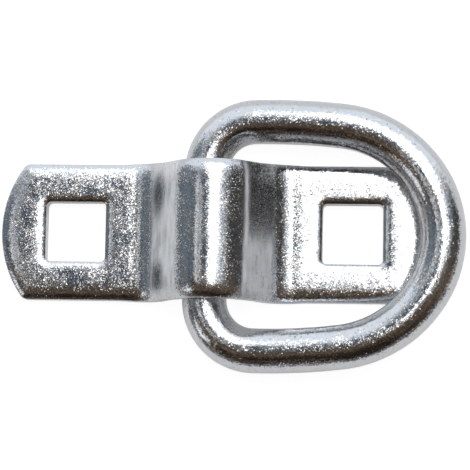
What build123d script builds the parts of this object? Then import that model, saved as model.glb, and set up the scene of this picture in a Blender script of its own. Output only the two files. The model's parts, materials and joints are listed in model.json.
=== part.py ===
from build123d import *
import os
from math import asin, cos, degrees, radians, sin, tan

# Bolt-on lashing D-ring: a round-bar D-ring whose straight side turns under the saddle of a formed strap.
# Frame: the origin lies midway between the two bolt holes, on the surface that the strap is bolted to.
# +X runs along the strap towards the tab that the ring lies over, +Y along the ring's straight bar,
# +Z away from the mounting surface. Lengths are in millimetres, angles in degrees.

# Strap
strap_width = 38.1
strap_thickness = 4.76
strap_length = 119.5
end_radius = 31.1            # each tab ends in one broad arc
end_corner_radius = 2.5
edge_round = 1.0             # rolled upper edges of the flat bar
lower_edge_round = 0.5

# Saddle, measured on the strap's upper surface: one round crown between two straight risers
saddle_height = 20.3
riser_angle = 50.3
crown_radius = 13.0
foot_radius = 7.0
bend_bulge = 0.3             # a bend's squeezed inner side stands this far out of the strap's edge
bend_bulge_length = 16.0

# Square bolt holes
hole_side = 16.7
hole_corner_radius = 1.3
hole_spacing = 77.4
hole_rim_round = 1.5         # punched rims roll over on the upper side
hole_lower_round = 0.4

# D-ring
bar_diameter = 12.5
ring_arcs = [                # bar centreline: radius, heading at its start and at its end, from +X
    (14.0, 90, 1),           # corner
    (173.0, 1, -7),          # side, bowed out a little
    (32.1, -7, -60),         # shoulder of the bow
    (29.2, -60, -90),        # nose of the bow
]

# Ring at rest: its bow leans on the tab's two end corners
bar_x = -1.9                 # the bar lies a little off the saddle's middle
bar_lift = 0.15              # running gap between the bar and the mounting surface
ring_shift = -1.0            # the ring sits to one side within its side play
rest_angle = 4.1

bar_z = bar_diameter / 2 + bar_lift
half_width = strap_width / 2
half_length = strap_length / 2
os.makedirs("parts", exist_ok=True)


def cosine(angle):
    return cos(radians(angle))


# Half the straight bar is what the arcs leave of the ring's half width.
bar_half_length = sum(radius * (cosine(start) - cosine(end)) for radius, start, end in ring_arcs)

# Where the saddle's straight lines cross, on the upper surface.
riser_peak = saddle_height + crown_radius * (1 / cosine(riser_angle) - 1)
foot_half_width = (riser_peak - strap_thickness) / tan(radians(riser_angle))

saddle_points = [
    (-half_length - 1, strap_thickness),
    (-foot_half_width, strap_thickness),
    (0, riser_peak),
    (foot_half_width, strap_thickness),
    (half_length + 1, strap_thickness),
]
saddle_radii = [foot_radius, crown_radius, foot_radius]


def quarter_outline():
    """Adds a quarter of the strap's plan outline, from the middle of one long edge to the tab's tip."""
    bulge_start = foot_half_width - bend_bulge_length / 2
    step = bend_bulge_length / 4
    crest_y = half_width + bend_bulge / 2
    rise = TangentArc((bulge_start, half_width), (bulge_start + step, crest_y), tangent=(1, 0))
    crest = TangentArc(rise @ 1, (bulge_start + 3 * step, crest_y), tangent=rise % 1)
    fall = TangentArc(crest @ 1, (bulge_start + 4 * step, half_width), tangent=crest % 1)
    corner_angle = degrees(asin(half_width / end_radius))
    tip = CenterArc((half_length - end_radius, 0), end_radius, 0, corner_angle)
    Line((0, half_width), rise @ 0)
    Line(fall @ 1, tip @ 1)


def rims(part, side):
    """Edges where the strip's upper (side = 1) or lower (side = -1) surface meets its cut walls."""
    walls = part.faces().filter_by(lambda face: abs(face.normal_at().Z) < 0.01)
    skin = part.faces().filter_by(lambda face: face.normal_at().Z * side > 0.1)
    return walls.edges() & skin.edges()


# Bracket: the bent strip, cut to its plan outline, its edges rolled, then punched.
with BuildPart() as bracket:
    with BuildSketch(Plane.XZ):
        with BuildLine():
            FilletPolyline(*saddle_points, radius=saddle_radii)
            offset(amount=strap_thickness, side=Side.RIGHT)
        make_face()
    extrude(amount=strap_width, both=True)
    with BuildSketch():
        with BuildLine():
            quarter_outline()
            mirror(about=Plane.XZ)
            mirror(about=Plane.YZ)
        make_face()
    extrude(amount=saddle_height + 1, mode=Mode.INTERSECT)
    upright_columns = bracket.edges().filter_by(Axis.Z).group_by(Axis.X)
    fillet(upright_columns[0] + upright_columns[-1], end_corner_radius)
    fillet(rims(bracket, 1), edge_round)
    fillet(rims(bracket, -1), lower_edge_round)
    solid_edges = bracket.edges()
    with BuildSketch():
        with Locations((-hole_spacing / 2, 0), (hole_spacing / 2, 0)):
            RectangleRounded(hole_side, hole_side, hole_corner_radius)
    extrude(amount=strap_thickness, mode=Mode.SUBTRACT)
    hole_edges = (bracket.edges() - solid_edges).filter_by(Axis.Z, reverse=True).group_by(Axis.Z)
    fillet(hole_edges[-1], hole_rim_round)
    fillet(hole_edges[0], hole_lower_round)

bracket.part.label = "bracket"
export_step(bracket.part, "parts/bracket.step")

# D-ring: one round bar swept round half the loop and its mirror image.
ring_plane = Plane(
    origin=(bar_x, ring_shift, bar_z),
    x_dir=(cosine(rest_angle), 0, sin(radians(rest_angle))),
    z_dir=(-sin(radians(rest_angle)), 0, cosine(rest_angle)),
)
with BuildLine() as flat_loop:
    run = Line((0, 0), (0, bar_half_length))
    for radius, start_angle, end_angle in ring_arcs:
        run = JernArc(run @ 1, run % 1, radius, end_angle - start_angle)
    mirror(about=Plane.XZ)

with BuildPart() as d_ring:
    with BuildSketch(Plane(ring_plane.origin, z_dir=(0, 1, 0))):
        Circle(bar_diameter / 2)
    sweep(path=ring_plane * flat_loop.wire())

d_ring.part.label = "d_ring"
export_step(d_ring.part, "parts/d_ring.step")
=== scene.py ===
import json
import math

import bpy
import numpy as np
from mathutils import Matrix, Vector, noise
from mathutils.geometry import delaunay_2d_cdt


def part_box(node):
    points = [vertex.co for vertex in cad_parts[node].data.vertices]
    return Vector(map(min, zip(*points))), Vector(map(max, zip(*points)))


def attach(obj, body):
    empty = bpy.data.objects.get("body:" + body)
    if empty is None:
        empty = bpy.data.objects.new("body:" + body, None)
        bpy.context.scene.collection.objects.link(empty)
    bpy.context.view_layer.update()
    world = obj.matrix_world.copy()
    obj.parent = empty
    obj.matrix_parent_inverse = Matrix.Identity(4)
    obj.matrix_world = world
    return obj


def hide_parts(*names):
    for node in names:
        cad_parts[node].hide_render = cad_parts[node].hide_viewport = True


# Looks of the bolt-on lashing D-ring: the strap and the ring are rebuilt as fine meshes on the CAD frame.
# Lengths in the modelling functions are millimetres, as in the CAD, and become metres when a mesh is made.

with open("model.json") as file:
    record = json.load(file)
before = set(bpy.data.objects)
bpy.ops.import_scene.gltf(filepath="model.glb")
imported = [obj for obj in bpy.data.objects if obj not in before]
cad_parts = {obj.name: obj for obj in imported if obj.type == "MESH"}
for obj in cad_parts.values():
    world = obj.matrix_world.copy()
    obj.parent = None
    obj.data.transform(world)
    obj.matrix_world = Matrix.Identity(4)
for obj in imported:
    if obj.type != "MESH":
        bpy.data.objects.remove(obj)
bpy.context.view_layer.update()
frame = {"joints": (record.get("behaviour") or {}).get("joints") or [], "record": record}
MM = 0.001
mounts = {mount["name"]: mount for mount in frame["record"]["mounts"]}
swing = frame["joints"][0]

# Strap, as in the CAD
bracket_low, bracket_high = (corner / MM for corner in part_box("bracket"))
strap_width = 38.1
strap_thickness = 4.76
half_width = strap_width / 2
half_length = (bracket_high.x - bracket_low.x) / 2
saddle_height = bracket_high.z
riser_angle = math.radians(50.3)
crown_radius = 13.0
foot_radius = 7.0
bend_bulge = 0.3
bend_bulge_length = 16.0
end_radius = 31.1
end_corner_radius = 2.5
hole_x = mounts["right_bolt_hole"]["pos_m"][0] / MM
hole_side = 16.7
hole_corner_radius = 1.3

# Rims: a blank that is cut in a press rolls down towards its cut edge, deepest at the edge itself
edge_slope = 0.85            # the roll's steepness at the outer edge
edge_reach = 1.75            # the distance over which it fades by a factor e
hole_slope = 0.85
hole_reach = 0.95
rim_corner = 0.35            # small round between the roll and the cut wall
burr_corner = 0.25           # and between the wall and the underside
rim_width = 2.3              # the rims' loops of faces end here; a regular grid fills the rest
upper_share = 0.6            # the upper surface's shape fades out over this share of the thickness

# Unevenness of the pressed strip: low ridges beside its feet and on its crown, waves and die marks
foot_ridge_height = 0.05
crown_ridge_height = 0.085
crown_ridge_place = -3.6     # along the blank, from the crown's top
wave_height = 0.022
die_mark_height = 0.016

# How finely the outlines and rims are divided
side_points = 150            # along half of a long edge
tip_points = 32
corner_points = 9
hole_side_points = 22
roll_loops = 12
roll_crowding = 1.4          # above 1, the roll's loops crowd towards the cut edge
corner_loops = 5

# The grid between the rims
tab_spacing = 0.7
bend_spacing = 0.38
cross_spacing = 0.75
grid_margin = 0.3            # kept clear beside a rim's inner loop

# D-ring, as in the CAD
bar_radius = 6.25
bar_x, bar_y, bar_z = (value / MM for value in swing["pos_m"])
rest_angle = math.asin(-mounts["ring_eye"]["axis"][0])
ring_arcs = [                # centreline: radius, heading at its start and at its end, from +X
    (14.0, 90, 1),
    (173.0, 1, -7),
    (32.1, -7, -60),
    (29.2, -60, -90),
]

# The bending former leaves two flats on the inner side of each of the ring's corners
former_flat_depth = 0.75
former_flat_tilt = 32        # degrees above and below the ring's plane
former_flat_centre = 3.0     # along the bar, past the corner's middle
former_flat_reach = 14.0
former_flat_sharpness = 40   # exponent of the blend between the flats and the round bar

# Unevenness of the rolled bar, and the strip along its inner side that lies a little flat
bar_unevenness = 0.045
fine_unevenness = 0.014
inner_strip_depth = 0.10
inner_strip_reach = 1.5

ring_rows = 680
ring_columns = 112


# ---------------------------------------------------------------- shape helpers

def follow(pieces, lengths):
    """x, y and heading at the given lengths along a flat chain of (length, turn) pieces from +x."""
    x, y, heading = (np.zeros_like(lengths) for _ in range(3))
    start_x, start_y, start_heading, done = 0.0, 0.0, 0.0, 0.0
    for length, turn in pieces:
        along = np.clip(lengths - done, 0, length)
        bend = along * turn / length
        # The chord of an arc: its length is the arc's times sinc of half the turn.
        chord = along * np.sinc(bend / 2 / np.pi)
        here = lengths >= done
        x = np.where(here, start_x + chord * np.cos(start_heading + bend / 2), x)
        y = np.where(here, start_y + chord * np.sin(start_heading + bend / 2), y)
        heading = np.where(here, start_heading + bend, heading)
        chord_end = length * np.sinc(turn / 2 / np.pi)
        start_x += chord_end * math.cos(start_heading + turn / 2)
        start_y += chord_end * math.sin(start_heading + turn / 2)
        start_heading += turn
        done += length
    return x, y, heading


def fade(value, low, high):
    """0 at low, 1 at high and smooth between; low may be the larger one."""
    t = np.clip((value - low) / (high - low), 0, 1)
    return t * t * (3 - 2 * t)


def ridge(value, centre, width):
    """A smooth ridge, 1 at its centre."""
    return np.exp(-((value - centre) / width) ** 2)


def waviness(points, lengths):
    """Smooth noise at 3-D points, with its own wavelength along each axis."""
    return np.array([noise.noise(Vector(point)) for point in points / np.array(lengths)])


def make_piece(name, vertices, faces, body, material):
    """A smooth mesh object that rides on a CAD body."""
    mesh = bpy.data.meshes.new(name)
    mesh.from_pydata((np.asarray(vertices) * MM).tolist(), [], faces)
    mesh.validate()
    mesh.shade_smooth()
    piece = bpy.data.objects.new(name, mesh)
    bpy.context.scene.collection.objects.link(piece)
    mesh.materials.append(material)
    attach(piece, body)
    return piece


def store(piece, name, kind, field, values):
    """Keeps one value per vertex, for the material to read."""
    layer = piece.data.attributes.new(name, kind, "POINT")
    layer.data.foreach_set(field, values.astype(np.float32).ravel())


# ---------------------------------------------------------------- strap

def strap_pieces():
    """The strap's upper surface from the crown's top to a tip, as (length, turn) pieces."""
    riser_peak = saddle_height + crown_radius * (1 / math.cos(riser_angle) - 1)
    foot_half_width = (riser_peak - strap_thickness) / math.tan(riser_angle)
    crown_tangent = crown_radius * math.tan(riser_angle)
    foot_tangent = foot_radius * math.tan(riser_angle / 2)
    riser_run = foot_half_width / math.cos(riser_angle)
    return [
        (crown_radius * riser_angle, -riser_angle),
        (riser_run - crown_tangent - foot_tangent, 0.0),
        (foot_radius * riser_angle, riser_angle),
        (half_length - foot_half_width - foot_tangent, 0.0),
    ]


# Places along the blank, from the crown's top
profile = strap_pieces()
crown_end = profile[0][0]
riser_end = crown_end + profile[1][0]
foot_middle = riser_end + profile[2][0] / 2
half_blank = sum(length for length, turn in profile)
foot_end = half_blank - profile[3][0]
blank_shift = half_blank - half_length          # from a tab's x to its place along the blank


def side_bulge(u):
    """How far a bend's squeezed side stands out of the strap's edge."""
    away = np.clip(np.abs(np.abs(u) - foot_middle) / (bend_bulge_length / 2), 0, 1)
    return bend_bulge * 0.5 * (1 + np.cos(np.pi * away))


def quarter_outline(inset):
    """A quarter of the blank's outline, moved in by inset, from the long edge's middle to the tip."""
    corner_v = half_width - end_corner_radius
    arc_u = half_blank - end_radius
    corner_u = arc_u + math.sqrt((end_radius - end_corner_radius) ** 2 - corner_v ** 2)
    corner_angle = math.atan2(corner_v, corner_u - arc_u)
    side_u = np.linspace(0, corner_u, side_points)
    side = np.column_stack([side_u, half_width + side_bulge(side_u) - inset])
    turn = np.linspace(math.pi / 2, corner_angle, corner_points)[1:]
    round_radius = end_corner_radius - inset
    corner_centre = (corner_u, corner_v)
    corner = corner_centre + round_radius * np.column_stack([np.cos(turn), np.sin(turn)])
    sweep = np.linspace(corner_angle, 0, tip_points)[1:]
    tip_radius = end_radius - inset
    tip = np.column_stack([arc_u + tip_radius * np.cos(sweep), tip_radius * np.sin(sweep)])
    return np.vstack([side, corner, tip])


def outline(inset):
    """The blank's closed outline, moved in by inset."""
    quarter = quarter_outline(inset)
    right = np.vstack([quarter, (quarter * (1, -1))[-2::-1]])
    left = right[::-1] * (-1, 1)
    return np.vstack([right[:-1], left[:-1]])


def hole_outline(side, inset):
    """The closed outline of one bolt hole, moved out into the metal by inset; side is 1 or -1."""
    flat = hole_side / 2 - hole_corner_radius
    radius = hole_corner_radius + inset
    points = []
    for quarter in range(4):
        corner = (quarter + 0.5) * math.pi / 2
        centre = np.array([math.copysign(flat, math.cos(corner)), math.copysign(flat, math.sin(corner))])
        turn = quarter * math.pi / 2 + np.linspace(0, math.pi / 2, corner_points)
        points.append(centre + radius * np.column_stack([np.cos(turn), np.sin(turn)]))
        across = np.linspace(0, 1, hole_side_points)[1:-1, None]
        next_turn = (quarter + 1) * math.pi / 2
        step = np.array([math.cos(next_turn + math.pi / 2), math.sin(next_turn + math.pi / 2)])
        points.append(points[-1][-1] + across * 2 * flat * step)
    return np.vstack(points) + (side * (hole_x + blank_shift), 0)


def inside(points, loop):
    """True for the points inside a closed loop, by counting the edges to their right."""
    x, y = points[:, 0], points[:, 1]
    result = np.zeros(len(points), bool)
    for (x0, y0), (x1, y1) in zip(loop, np.roll(loop, -1, axis=0)):
        if y0 == y1:
            continue
        crosses = (y0 > y) != (y1 > y)
        result ^= crosses & (x < x0 + (y - y0) * (x1 - x0) / (y1 - y0))
    return result


def distance_to(points, loop):
    """Each point's distance to a closed outline, to the nearest of many points along it."""
    closed = np.vstack([loop, loop[:1]])
    steps = np.linspace(0, 1, 4, endpoint=False)[:, None, None]
    dense = (closed[:-1] + (closed[1:] - closed[:-1]) * steps).reshape(-1, 2)
    return np.concatenate([
        np.sqrt(((part[:, None] - dense) ** 2).sum(2)).min(1)
        for part in np.array_split(points, max(1, len(points) // 500))
    ])


def roll(distance, slope, reach):
    """How far a rim has sunk at that distance from its cut edge."""
    return slope * reach * np.exp(-distance / reach)


def near_top(depth):
    """1 on the upper surface, falling to 0 below it."""
    return np.clip(1 - depth / (strap_thickness * upper_share), 0, 1)


def surface_waves(u, v):
    """How far the upper surface stands up: ridges, waves all over, and die marks across the crown."""
    past_foot = np.abs(u) - foot_end
    foot_ridge = foot_ridge_height * np.where(u < 0, ridge(past_foot, 1.7, 2.3), ridge(past_foot, 2.0, 1.2))
    crown_ridge = crown_ridge_height * ridge(u, crown_ridge_place, 2.1)
    # The third coordinate only picks a different stretch of the noise for each layer.
    waves = wave_height * waviness(np.column_stack([u, v, np.full_like(u, 3.0)]), (6.0, 6.0, 1.0))
    die_marks = die_mark_height * waviness(np.column_stack([u, v, np.full_like(u, 8.0)]), (2.4, 16.0, 1.0))
    return foot_ridge + crown_ridge + waves + die_marks * fade(np.abs(u), riser_end, crown_end)


def riser_marks(u, v):
    """How satin the press has rubbed each point, where a dark reflection is painted into its colour, and how
    flat its crystals lie.
    """
    along = np.abs(u)
    riser = fade(along, crown_end - 1.6, crown_end - 0.4) * fade(along, riser_end + 1.2, riser_end - 1.0)

    # Two shiny spots on the left riser: less satin there, and a dark reflection painted into their colour.
    spot_middle, spot_width, spot_sharpness = riser_end - 3.2, 2.7, 1.5
    left_shine_and_painted_reflection = 0
    for spot_v, size in ((10.5, 6.5), (-13.0, 4.5)):
        apart = ((along - spot_middle) / spot_width) ** 2 + ((v - spot_v) / size) ** 2
        left_shine_and_painted_reflection = left_shine_and_painted_reflection + np.exp(-apart ** spot_sharpness)
    left_shine_and_painted_reflection = np.clip(left_shine_and_painted_reflection, 0, 1)

    # The right riser is satin on its half towards -Y and in a line under the crown; on the rest a dark
    # reflection of the ring is painted into its colour.
    shoulder_line = ridge(along, crown_end + 0.2, 1.2)
    lower_half = fade(v, 3.0, -5.0)
    satin_right = riser * np.maximum(lower_half * 0.8, shoulder_line)
    painted_reflection_right = riser * (1 - lower_half) * (1 - shoulder_line)
    satin = np.where(u < 0, riser * (1 - 0.85 * left_shine_and_painted_reflection), satin_right)
    painted_reflection = np.where(u < 0, riser * 0.75 * left_shine_and_painted_reflection, 0.85 * painted_reflection_right)

    calm_crown = 0.6 * fade(along, 6.0, 3.0)
    calm_right_tab = np.where(u > 0, 0.5 * fade(along, riser_end + 7.0, riser_end + 10.0), 0)
    calm_left_tab = np.where(u < 0, 0.36 * fade(along, riser_end + 5.0, riser_end + 8.0), 0)
    return satin, painted_reflection, calm_crown + calm_right_tab + calm_left_tab


def bend(points, depth):
    """Carries blank points (u, v) at a depth under the upper surface to their places on the bent strap."""
    u, v = points[:, 0], points[:, 1]
    x, z, heading = follow(profile, np.abs(u))
    side = np.where(u < 0, -1.0, 1.0)
    return np.column_stack([
        side * (x + depth * np.sin(heading)),
        v,
        saddle_height + z - depth * np.cos(heading),
    ])


def arc_corner(radius, start_slope, count):
    """Points (inset, drop) of a small round that starts at a slope and ends upright, at inset 0."""
    start = math.atan(start_slope)
    angles = np.linspace(start, math.pi / 2, count)
    return [(radius * (1 - math.sin(a)), radius * (math.cos(start) - math.cos(a))) for a in angles]


def rim_loops(make_loop, slope, reach):
    """Loops of (points, depth) from a rim's inner limit over the roll and down the wall to the underside."""
    insets = rim_width * np.linspace(1, 0, roll_loops) ** roll_crowding
    corner = arc_corner(rim_corner, slope, corner_loops)
    closest = corner[0][0] + 0.05
    insets = [inset for inset in insets if inset > closest]
    loops = [(make_loop(inset), roll(inset, slope, reach)) for inset in insets]
    top = roll(corner[0][0], slope, reach)
    loops += [(make_loop(inset), top + drop) for inset, drop in corner]
    wall_top = loops[-1][1]
    wall_end = strap_thickness - burr_corner
    loops += [(make_loop(0), wall_top + (wall_end - wall_top) * t) for t in (0.25, 0.5, 0.75, 1)]
    for angle in np.radians([30, 60, 90]):
        inset = burr_corner * (1 - math.cos(angle))
        loops.append((make_loop(inset), wall_end + burr_corner * math.sin(angle)))
    loops.append((make_loop(rim_width), strap_thickness))
    return loops


def blank_grid():
    """Grid points over the blank between its rims, closer together where it bends."""
    u = np.concatenate([
        np.arange(-half_blank, -foot_end, tab_spacing),
        np.arange(-foot_end, foot_end, bend_spacing),
        np.arange(foot_end, half_blank, tab_spacing),
    ])
    v = np.arange(-half_width, half_width + 0.1, cross_spacing)
    grid = np.stack(np.meshgrid(u, v), -1).reshape(-1, 2)
    keep = inside(grid, outline(rim_width + grid_margin))
    for side in (1, -1):
        keep &= ~inside(grid, hole_outline(side, rim_width + grid_margin))
    return grid[keep]


def triangulate(loops, grid):
    """Triangles between an outer loop and the hole loops after it; the loops' points are numbered first."""
    edges, start = [], 0
    for loop in loops:
        count = len(loop)
        edges += [(start + i, start + (i + 1) % count) for i in range(count)]
        start += count
    points = [Vector(point) for point in np.vstack(loops + [grid])]
    flat, _, triangles, origin, _, _ = delaunay_2d_cdt(points, edges, [], 0, 1e-5)
    index = [source[0] for source in origin]
    middles = np.array([np.mean([flat[i] for i in triangle], axis=0) for triangle in triangles])
    kept = inside(middles, loops[0])
    for hole in loops[1:]:
        kept &= ~inside(middles, hole)
    return np.array([[index[i] for i in triangle] for triangle, keep in zip(triangles, kept) if keep])


def strap_faces(triangles, sizes, starts, count):
    """The upper sheet, the lower sheet and the strips between neighbouring loops of each rim."""
    loops = list(zip(sizes, starts))
    upper = np.concatenate([rim[0] + np.arange(size) for size, rim in loops] + [np.arange(count)])
    lower = np.concatenate([rim[-1] + np.arange(size) for size, rim in loops] + [count + np.arange(count)])
    faces = upper[triangles].tolist() + lower[triangles[:, ::-1]].tolist()
    for size, rim in loops:
        for a, b in zip(rim, rim[1:]):
            for i in range(size):
                j = (i + 1) % size
                faces.append((a + i, a + j, b + j, b + i))
    return faces


def build_strap(material):
    rims = [
        rim_loops(outline, edge_slope, edge_reach),
        rim_loops(lambda inset: hole_outline(1, inset), hole_slope, hole_reach),
        rim_loops(lambda inset: hole_outline(-1, inset), hole_slope, hole_reach),
    ]
    inner_loops = [loops[0][0] for loops in rims]
    grid = blank_grid()
    count = len(grid)
    triangles = triangulate(inner_loops, grid)

    # The upper grid, the lower grid, then every loop of every rim.
    points = np.vstack([grid, grid] + [loop for loops in rims for loop, _ in loops])
    edge_roll = roll(distance_to(points, outline(0)), edge_slope, edge_reach)
    hole_distances = [distance_to(points, hole_outline(side, 0)) for side in (1, -1)]
    hole_roll = roll(np.minimum(*hole_distances), hole_slope, hole_reach)
    depth = np.concatenate([(edge_roll + hole_roll)[:count], np.full(count, strap_thickness)])
    starts = []
    for loops, other_roll in zip(rims, (hole_roll, edge_roll, edge_roll)):
        starts.append([])
        for loop, loop_depth in loops:
            start = len(depth)
            starts[-1].append(start)
            other = other_roll[start:start + len(loop)]
            depth = np.concatenate([depth, loop_depth + other * near_top(loop_depth)])
    upper = near_top(depth)
    depth = depth - surface_waves(points[:, 0], points[:, 1]) * upper

    faces = strap_faces(triangles, [len(loop) for loop in inner_loops], starts, count)
    piece = make_piece("bracket_shell", bend(points, depth), faces, "bracket", material)
    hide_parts("bracket")
    # The second mark is where a dark reflection is painted into the plate's colour.
    for name, mark in zip(("dulled", "painted_reflection_mask", "calm"), riser_marks(points[:, 0], points[:, 1])):
        store(piece, name, "FLOAT", "value", mark * upper)


# ---------------------------------------------------------------- ring

def ring_pieces():
    """Half the ring's centreline from the middle of the straight bar, as (length, turn) pieces."""
    turns = [(radius, math.radians(end - start)) for radius, start, end in ring_arcs]
    bar_half = sum(
        radius * (math.cos(math.radians(start)) - math.cos(math.radians(end)))
        for radius, start, end in ring_arcs
    )
    return [(bar_half, 0.0)] + [(radius * abs(turn), turn) for radius, turn in turns]


def former_flats(along, theta):
    """The section's radius with the bending former's flats, which fade out along the rods."""
    flat_depth = former_flat_depth * fade(np.abs(along - former_flat_centre), former_flat_reach, 0)
    radius = np.full((len(along), len(theta)), bar_radius)
    for tilt in (former_flat_tilt, -former_flat_tilt):
        off = np.cos(theta - (math.pi - math.radians(tilt)))
        flat = (bar_radius - flat_depth)[:, None] / np.maximum(off, 0.05)
        sharp = former_flat_sharpness
        radius = (radius ** -sharp + flat ** -sharp) ** (-1 / sharp)
    return radius


def build_ring(material):
    pieces = ring_pieces()
    half_loop = sum(length for length, turn in pieces)
    corner_middle = pieces[0][0] + pieces[1][0] / 2
    s = np.linspace(0, 2 * half_loop, ring_rows, endpoint=False)
    folded = np.minimum(s, 2 * half_loop - s)
    mirrored = np.where(s > half_loop, -1.0, 1.0)
    # follow() starts along +x: the bar runs along +y, so its x is the loop's y and its y the loop's -x.
    forward, aside, heading = follow(pieces, folded)
    centre_x, centre_y = -aside, forward * mirrored
    out_x, out_y = -np.cos(heading), -np.sin(heading) * mirrored
    theta = np.linspace(-math.pi / 2, 3 * math.pi / 2, ring_columns, endpoint=False)

    unrolled = np.stack(np.broadcast_arrays(
        folded[:, None], bar_radius * np.cos(theta), bar_radius * np.sin(theta)), -1).reshape(-1, 3)
    uneven = bar_unevenness * waviness(unrolled, (9.0, 3.2, 3.2))
    uneven += fine_unevenness * waviness(unrolled, (3.5, 1.3, 1.3))
    from_inside = bar_radius * np.arccos(np.clip(-np.cos(theta), -1, 1))
    inner_strip = inner_strip_depth * np.exp(-(from_inside / inner_strip_reach) ** 4)
    radius = former_flats(folded - corner_middle, theta) + uneven.reshape(ring_rows, ring_columns)
    radius = radius - bar_unevenness - inner_strip

    x = centre_x[:, None] + radius * np.cos(theta) * out_x[:, None]
    y = centre_y[:, None] + radius * np.cos(theta) * out_y[:, None]
    z = radius * np.sin(theta)
    sine, cosine = math.sin(rest_angle), math.cos(rest_angle)
    vertices = np.stack([
        bar_x + x * cosine - z * sine,
        bar_y + y,
        bar_z + x * sine + z * cosine,
    ], -1).reshape(-1, 3)

    faces = []
    for row in range(ring_rows):
        a, b = row * ring_columns, (row + 1) % ring_rows * ring_columns
        for i in range(ring_columns):
            j = (i + 1) % ring_columns
            faces.append((a + i, a + j, b + j, b + i))
    piece = make_piece("ring_forging", vertices, faces, "ring", material)
    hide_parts("d_ring")
    store(piece, "unrolled", "FLOAT_VECTOR", "vector", unrolled * MM)


# ---------------------------------------------------------------- node helpers

def add(tree, kind, inputs=(), **settings):
    """Adds a node, sets its properties, and links or sets its inputs, given by index or name."""
    made = tree.nodes.new(kind)
    for key, value in settings.items():
        setattr(made, key, value)
    for key, value in dict(inputs).items():
        if isinstance(value, bpy.types.NodeSocket):
            tree.links.new(value, made.inputs[key])
        else:
            made.inputs[key].default_value = value
    return made


def attribute(tree, name, output):
    return add(tree, "ShaderNodeAttribute", attribute_name=name).outputs[output]


def noise_value(tree, where, scale, detail):
    return add(tree, "ShaderNodeTexNoise", {"Vector": where, "Scale": scale, "Detail": detail}).outputs[0]


def vector_math(tree, operation, first, second):
    return add(tree, "ShaderNodeVectorMath", {0: first, 1: second}, operation=operation).outputs[0]


def scaled(tree, vector, factor):
    return add(tree, "ShaderNodeVectorMath", {0: vector, "Scale": factor}, operation="SCALE").outputs[0]


def math_node(tree, operation, first, second):
    return add(tree, "ShaderNodeMath", {0: first, 1: second}, operation=operation).outputs[0]


def product(tree, values):
    result = values[0]
    for value in values[1:]:
        result = math_node(tree, "MULTIPLY", result, value)
    return result


def between(tree, value, low, high, low_out=0.0, high_out=1.0):
    """low_out at low, high_out at high and smooth between; low may be the larger one."""
    inputs = {0: value, 1: low, 2: high, 3: low_out, 4: high_out}
    return add(tree, "ShaderNodeMapRange", inputs, interpolation_type="SMOOTHSTEP").outputs[0]


def lay_over(tree, below, color, mask):
    """One colour laid over those before it."""
    made = add(tree, "ShaderNodeMix", {0: mask}, data_type="RGBA")
    for socket, value in ((made.inputs[6], below), (made.inputs[7], color)):
        if isinstance(value, bpy.types.NodeSocket):
            tree.links.new(value, socket)
        else:
            socket.default_value = (*value, 1)
    return made.outputs[2]


def times(color, factors):
    """A colour multiplied by one factor or by one for each channel."""
    return tuple(float(value) for value in np.array(color) * factors)


# ---------------------------------------------------------------- zinc plate

patch_scale = 330.0          # noise scales are cycles per metre
pit_scale = 1500.0
scratch_scale = (160.0, 2600.0, 300.0)
brush_scale = (900.0, 120.0, 500.0)
drawing_line_scale = (90.0, 900.0, 900.0)
patch_relief = 0.00007       # metres
drawing_line_relief = 0.00005
steep_rarity = 6.0           # exponent: the higher, the fewer facets stand steep
steepest_facet = 6.5         # tilt added to the steepest, in shares of the usual tilt


def crystals(tree, where, size, tilt):
    """Flat crystal facets of a plated surface: a random tilt for each one, and its random colour value."""
    cells = add(tree, "ShaderNodeTexVoronoi", {"Vector": where, "Scale": 1 / (size * MM)})
    centred = vector_math(tree, "SUBTRACT", cells.outputs["Color"], (0.5, 0.5, 0.5))
    # Most facets lie nearly flat, and a few stand steep.
    other = add(tree, "ShaderNodeTexWhiteNoise", {"Vector": cells.outputs["Position"]}).outputs["Value"]
    steep = {0: math_node(tree, "POWER", other, steep_rarity), 1: steepest_facet * tilt, 2: tilt}
    steepness = add(tree, "ShaderNodeMath", steep, operation="MULTIPLY_ADD").outputs[0]
    return scaled(tree, centred, steepness), cells.outputs["Color"]


def zinc_relief(tree, patches, streaked):
    """Soft patches, and on the ring the drawing lines that run along the bar."""
    bump = add(tree, "ShaderNodeBump", {"Height": patches, "Strength": 1.0, "Distance": patch_relief})
    if not streaked:
        return bump.outputs[0]
    squeezed = vector_math(tree, "MULTIPLY", attribute(tree, "unrolled", "Vector"), drawing_line_scale)
    lines = {
        "Height": noise_value(tree, squeezed, 1.0, 3.0),
        "Strength": 1.0,
        "Distance": drawing_line_relief,
        "Normal": bump.outputs[0],
    }
    return add(tree, "ShaderNodeBump", lines).outputs[0]


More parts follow.
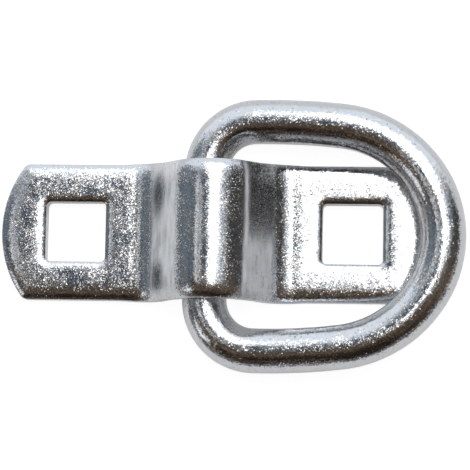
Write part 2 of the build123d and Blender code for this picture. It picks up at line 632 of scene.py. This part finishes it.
def zinc_color(tree, where, color, patches, facet_value, film_strength, dull, painted_reflection_mask):
    """Plate with a straw-to-blue film, satin marks, a painted dark reflection, weak brown stains, pits and
    sparse scratches.
    """
    blue = times(color, 1 + film_strength * np.array((-0.17, -0.06, 0.12)))
    straw = times(color, 1 + film_strength * np.array((0.10, 0.0, -0.14)))
    brown = times(color, (0.98, 0.80, 0.62))
    # The middle colour is painted shade: the plate darkened to stand in for a dark reflection.
    satin, painted_reflection, pit = (times(color, factor) for factor in (1.52, 0.40, 0.45))
    bare_scratch = (0.82, 0.82, 0.82)
    brown_strength = 0.16
    film = add(tree, "ShaderNodeSeparateXYZ", {0: facet_value}).outputs[1]
    plate = lay_over(tree, blue, straw, between(tree, film, 0.25, 0.75))
    plate = lay_over(tree, plate, satin, math_node(tree, "POWER", dull, 1.6))
    # Painted reflection: the plate darkened where a dark reflection is painted.
    plate = lay_over(tree, plate, painted_reflection, painted_reflection_mask)
    plate = lay_over(tree, plate, brown, product(tree, [between(tree, patches, 0.42, 0.70), brown_strength]))
    pits = between(tree, noise_value(tree, where, pit_scale, 2.0), 0.36, 0.27)
    open_pits = product(tree, [pits, math_node(tree, "SUBTRACT", 1.0, dull)])
    plate = lay_over(tree, plate, pit, open_pits)
    turned = add(tree, "ShaderNodeMapping", {0: where, 2: (0.0, 0.0, 0.5), 3: scratch_scale})
    scratches = between(tree, noise_value(tree, turned.outputs[0], 1.0, 1.0), 0.76, 0.80)
    return lay_over(tree, plate, bare_scratch, scratches)


def zinc(name, color, crystal_size, crystal_tilt, film_strength, marked=False, streaked=False):
    """Bright zinc plate whose facets sparkle; marked adds the strap's satin marks and painted dark
    reflections, streaked the drawing lines.
    """
    material = bpy.data.materials.new(name)
    material.use_nodes = True
    tree = material.node_tree
    shader = tree.nodes["Principled BSDF"]
    where = add(tree, "ShaderNodeTexCoord").outputs["Object"]
    patches = noise_value(tree, where, patch_scale, 3.0)
    lively = between(tree, patches, 0.3, 0.62, 0.5, 1.1)
    dull, painted_reflection_mask = 0.0, 0.0
    if marked:
        brushed = vector_math(tree, "MULTIPLY", where, brush_scale)
        mottle = between(tree, noise_value(tree, brushed, 1.0, 3.0), 0.32, 0.62, 0.55, 1.0)
        dull = product(tree, [attribute(tree, "dulled", "Fac"), mottle])
        # Where a dark reflection is painted into the plate's colour.
        painted_reflection_mask = attribute(tree, "painted_reflection_mask", "Fac")
        calm = math_node(tree, "ADD", attribute(tree, "calm", "Fac"), product(tree, [dull, 0.35]))
        lively = product(tree, [lively, math_node(tree, "SUBTRACT", 1.0, calm)])

    fine, facet_value = crystals(tree, where, crystal_size, crystal_tilt)
    coarse, _ = crystals(tree, where, crystal_size * 2.1, crystal_tilt * 0.5)
    tilts = scaled(tree, vector_math(tree, "ADD", fine, coarse), lively)
    relief = zinc_relief(tree, patches, streaked)
    tilted = vector_math(tree, "ADD", relief, tilts)
    normal = add(tree, "ShaderNodeVectorMath", {0: tilted}, operation="NORMALIZE").outputs[0]

    plate = zinc_color(tree, where, color, patches, facet_value, film_strength, dull, painted_reflection_mask)
    smooth = between(tree, patches, 0.3, 0.7, 0.07, 0.16)
    roughness = math_node(tree, "ADD", smooth, math_node(tree, "MULTIPLY", dull, 0.34))
    tree.links.new(plate, shader.inputs["Base Color"])
    tree.links.new(roughness, shader.inputs["Roughness"])
    shader.inputs["Metallic"].default_value = 1.0
    if marked:
        metallic = math_node(tree, "SUBTRACT", 1.0, product(tree, [dull, 0.75]))
        tree.links.new(metallic, shader.inputs["Metallic"])
    tree.links.new(normal, shader.inputs["Normal"])
    return material


# ---------------------------------------------------------------- stage

def toward(tree, direction, azimuth, zenith, inner, outer):
    """A round patch, 1 within inner degrees of an azimuth (from +X) and zenith distance, 0 past outer."""
    a, z = math.radians(azimuth), math.radians(zenith)
    axis = (math.cos(a) * math.sin(z), math.sin(a) * math.sin(z), math.cos(z))
    made = add(tree, "ShaderNodeVectorMath", {0: direction, 1: axis}, operation="DOT_PRODUCT")
    return between(tree, made.outputs["Value"], math.cos(math.radians(outer)), math.cos(math.radians(inner)))


def room(tree, direction, x, y, z):
    """Pale behind the object, dim to its left and right, and dark brown on the camera's side."""
    pale_room = (1.06, 1.13, 1.22)
    left_wall = (0.075, 0.090, 0.113)
    left_wall_middle = (0.21, 0.25, 0.29)
    left_panel = (1.1, 1.13, 1.15)
    right_wall = (0.072, 0.072, 0.073)
    near_side = (0.112, 0.084, 0.064)
    near_side_far_down = (0.020, 0.014, 0.010)
    near_skirting = (0.22, 0.225, 0.23)
    window = (1.6, 1.65, 1.7)
    lit_thing = (0.30, 0.22, 0.16)
    gap = (0.012, 0.010, 0.009)

    left_mask = product(tree, [between(tree, x, 0.0, -0.16), between(tree, y, 0.6, 0.12)])
    right_mask = toward(tree, direction, -5, 70, 20, 50)
    skirting_mask = product(tree, [between(tree, y, 0.1, -0.1), between(tree, z, 0.30, 0.22)])
    color = lay_over(tree, pale_room, left_wall, left_mask)
    color = lay_over(tree, color, left_wall_middle, toward(tree, direction, 176, 68, 10, 34))
    color = lay_over(tree, color, left_panel, toward(tree, direction, 172, 28, 8, 11))
    color = lay_over(tree, color, right_wall, right_mask)
    color = lay_over(tree, color, near_side, between(tree, y, 0.02, -0.24))
    color = lay_over(tree, color, near_side_far_down, between(tree, y, -0.3, -0.75))
    color = lay_over(tree, color, near_skirting, skirting_mask)
    color = lay_over(tree, color, window, toward(tree, direction, 205, 64, 8, 13))

    # Furniture and gaps between it break up the dim sides.
    things = noise_value(tree, direction, 7.0, 3.0)
    lit_things = product(tree, [between(tree, y, 0.14, -0.1), between(tree, things, 0.54, 0.64), 0.75])
    color = lay_over(tree, color, lit_thing, lit_things)
    walls = math_node(tree, "MAXIMUM", left_mask, right_mask)
    dim_sides = math_node(tree, "MAXIMUM", walls, between(tree, y, 0.3, 0.0))
    gaps = product(tree, [dim_sides, between(tree, things, 0.47, 0.38), 0.8])
    return lay_over(tree, color, gap, gaps)


def soft_box(tree, x, y, z):
    """The soft box's mask, drawn on a level plane at unit height. It widens away from the camera's side."""
    height = math_node(tree, "MAXIMUM", z, 0.05)
    across = math_node(tree, "DIVIDE", x, height)
    along = math_node(tree, "DIVIDE", y, height)
    left_edge = math_node(tree, "ADD", across, product(tree, [along, 0.25]))
    right_edge = math_node(tree, "SUBTRACT", across, product(tree, [along, 0.55]))
    return product(tree, [
        between(tree, left_edge, -0.040, 0.005),
        between(tree, right_edge, 0.36, 0.18),
        between(tree, along, -0.13, -0.05),
        between(tree, along, 1.3, 0.9),
    ])


def build_surroundings():
    """What the metal reflects: a room and a large soft box overhead. The camera itself sees plain white."""
    world = bpy.data.worlds.new("studio")
    world.use_nodes = True
    bpy.context.scene.world = world
    tree = world.node_tree
    direction = add(tree, "ShaderNodeTexCoord").outputs["Generated"]
    x, y, z = add(tree, "ShaderNodeSeparateXYZ", {0: direction}).outputs
    soft_box_light = (3.0, 3.02, 3.05)
    color = room(tree, direction, x, y, z)
    color = lay_over(tree, color, soft_box_light, soft_box(tree, x, y, z))
    seen = add(tree, "ShaderNodeLightPath").outputs["Is Camera Ray"]
    color = lay_over(tree, color, (1.0, 1.0, 1.0), seen)
    tree.links.new(color, tree.nodes["Background"].inputs["Color"])


def pale_table():
    """Lit up where it is looked at, so that its shadows stay pale; the metal reflects its real shadows."""
    material = bpy.data.materials.new("pale_table")
    material.use_nodes = True
    tree = material.node_tree
    shader = tree.nodes["Principled BSDF"]
    where = add(tree, "ShaderNodeTexCoord").outputs["Object"]
    seen = add(tree, "ShaderNodeLightPath").outputs["Is Camera Ray"]
    paper = lay_over(tree, (0.64, 0.64, 0.645), (0.70, 0.70, 0.70), noise_value(tree, where, 900.0, 3.0))
    paper = lay_over(tree, paper, (0.24, 0.24, 0.24), seen)
    tree.links.new(paper, shader.inputs["Base Color"])
    tree.links.new(between(tree, seen, 0.0, 1.0, 0.34, 0.92), shader.inputs["Emission Strength"])
    shader.inputs["Roughness"].default_value = 0.9
    shader.inputs["Specular IOR Level"].default_value = 0.1
    shader.inputs["Emission Color"].default_value = (1, 1, 1, 1)
    return material


def build_floor():
    """A plain pale table top, large enough for any view."""
    size, cells, drop = 3.0, 24, 0.00003
    row = cells + 1
    step = size / cells
    middle = cells / 2
    vertices = [((i - middle) * step, (j - middle) * step, -drop) for j in range(row) for i in range(row)]
    corners = [j * row + i for j in range(cells) for i in range(cells)]
    faces = [(a, a + 1, a + row + 1, a + row) for a in corners]
    mesh = bpy.data.meshes.new("floor")
    mesh.from_pydata(vertices, [], faces)
    floor = bpy.data.objects.new("floor", mesh)
    bpy.context.scene.collection.objects.link(floor)
    mesh.materials.append(pale_table())


def build_camera():
    """Almost straight above, from the side of the ring's nose."""
    azimuth, elevation, roll_angle = math.radians(38.893), math.radians(82.253), math.radians(0.576)
    distance, sensor_width, focal_length = 0.57879, 36, 158.41532
    aim = Vector((0.0057, -0.00006, 0))
    back = Vector((
        math.sin(azimuth) * math.cos(elevation),
        -math.cos(azimuth) * math.cos(elevation),
        math.sin(elevation),
    ))
    level = (Vector((1, 0, 0)) - back * back.x).normalized()
    upright = back.cross(level)
    right = level * math.cos(roll_angle) + upright * math.sin(roll_angle)
    up = upright * math.cos(roll_angle) - level * math.sin(roll_angle)
    camera = bpy.data.objects.new("camera", bpy.data.cameras.new("camera"))
    bpy.context.scene.collection.objects.link(camera)
    pose = Matrix((right, up, back)).transposed().to_4x4()
    pose.translation = aim + back * distance
    camera.matrix_world = pose
    camera.data.sensor_width = sensor_width
    camera.data.lens = focal_length
    camera.data.clip_start = 0.01
    camera.data.clip_end = 10
    bpy.context.scene.camera = camera


build_camera()
build_surroundings()
build_floor()
build_strap(zinc(
    "bracket_zinc", (0.62, 0.63, 0.64),
    crystal_size=0.170, crystal_tilt=0.120, film_strength=0.8, marked=True,
))
build_ring(zinc(
    "ring_zinc", (0.63, 0.64, 0.65),
    crystal_size=0.19, crystal_tilt=0.078, film_strength=0.5, streaked=True,
))
bpy.context.scene.view_settings.view_transform = "Standard"
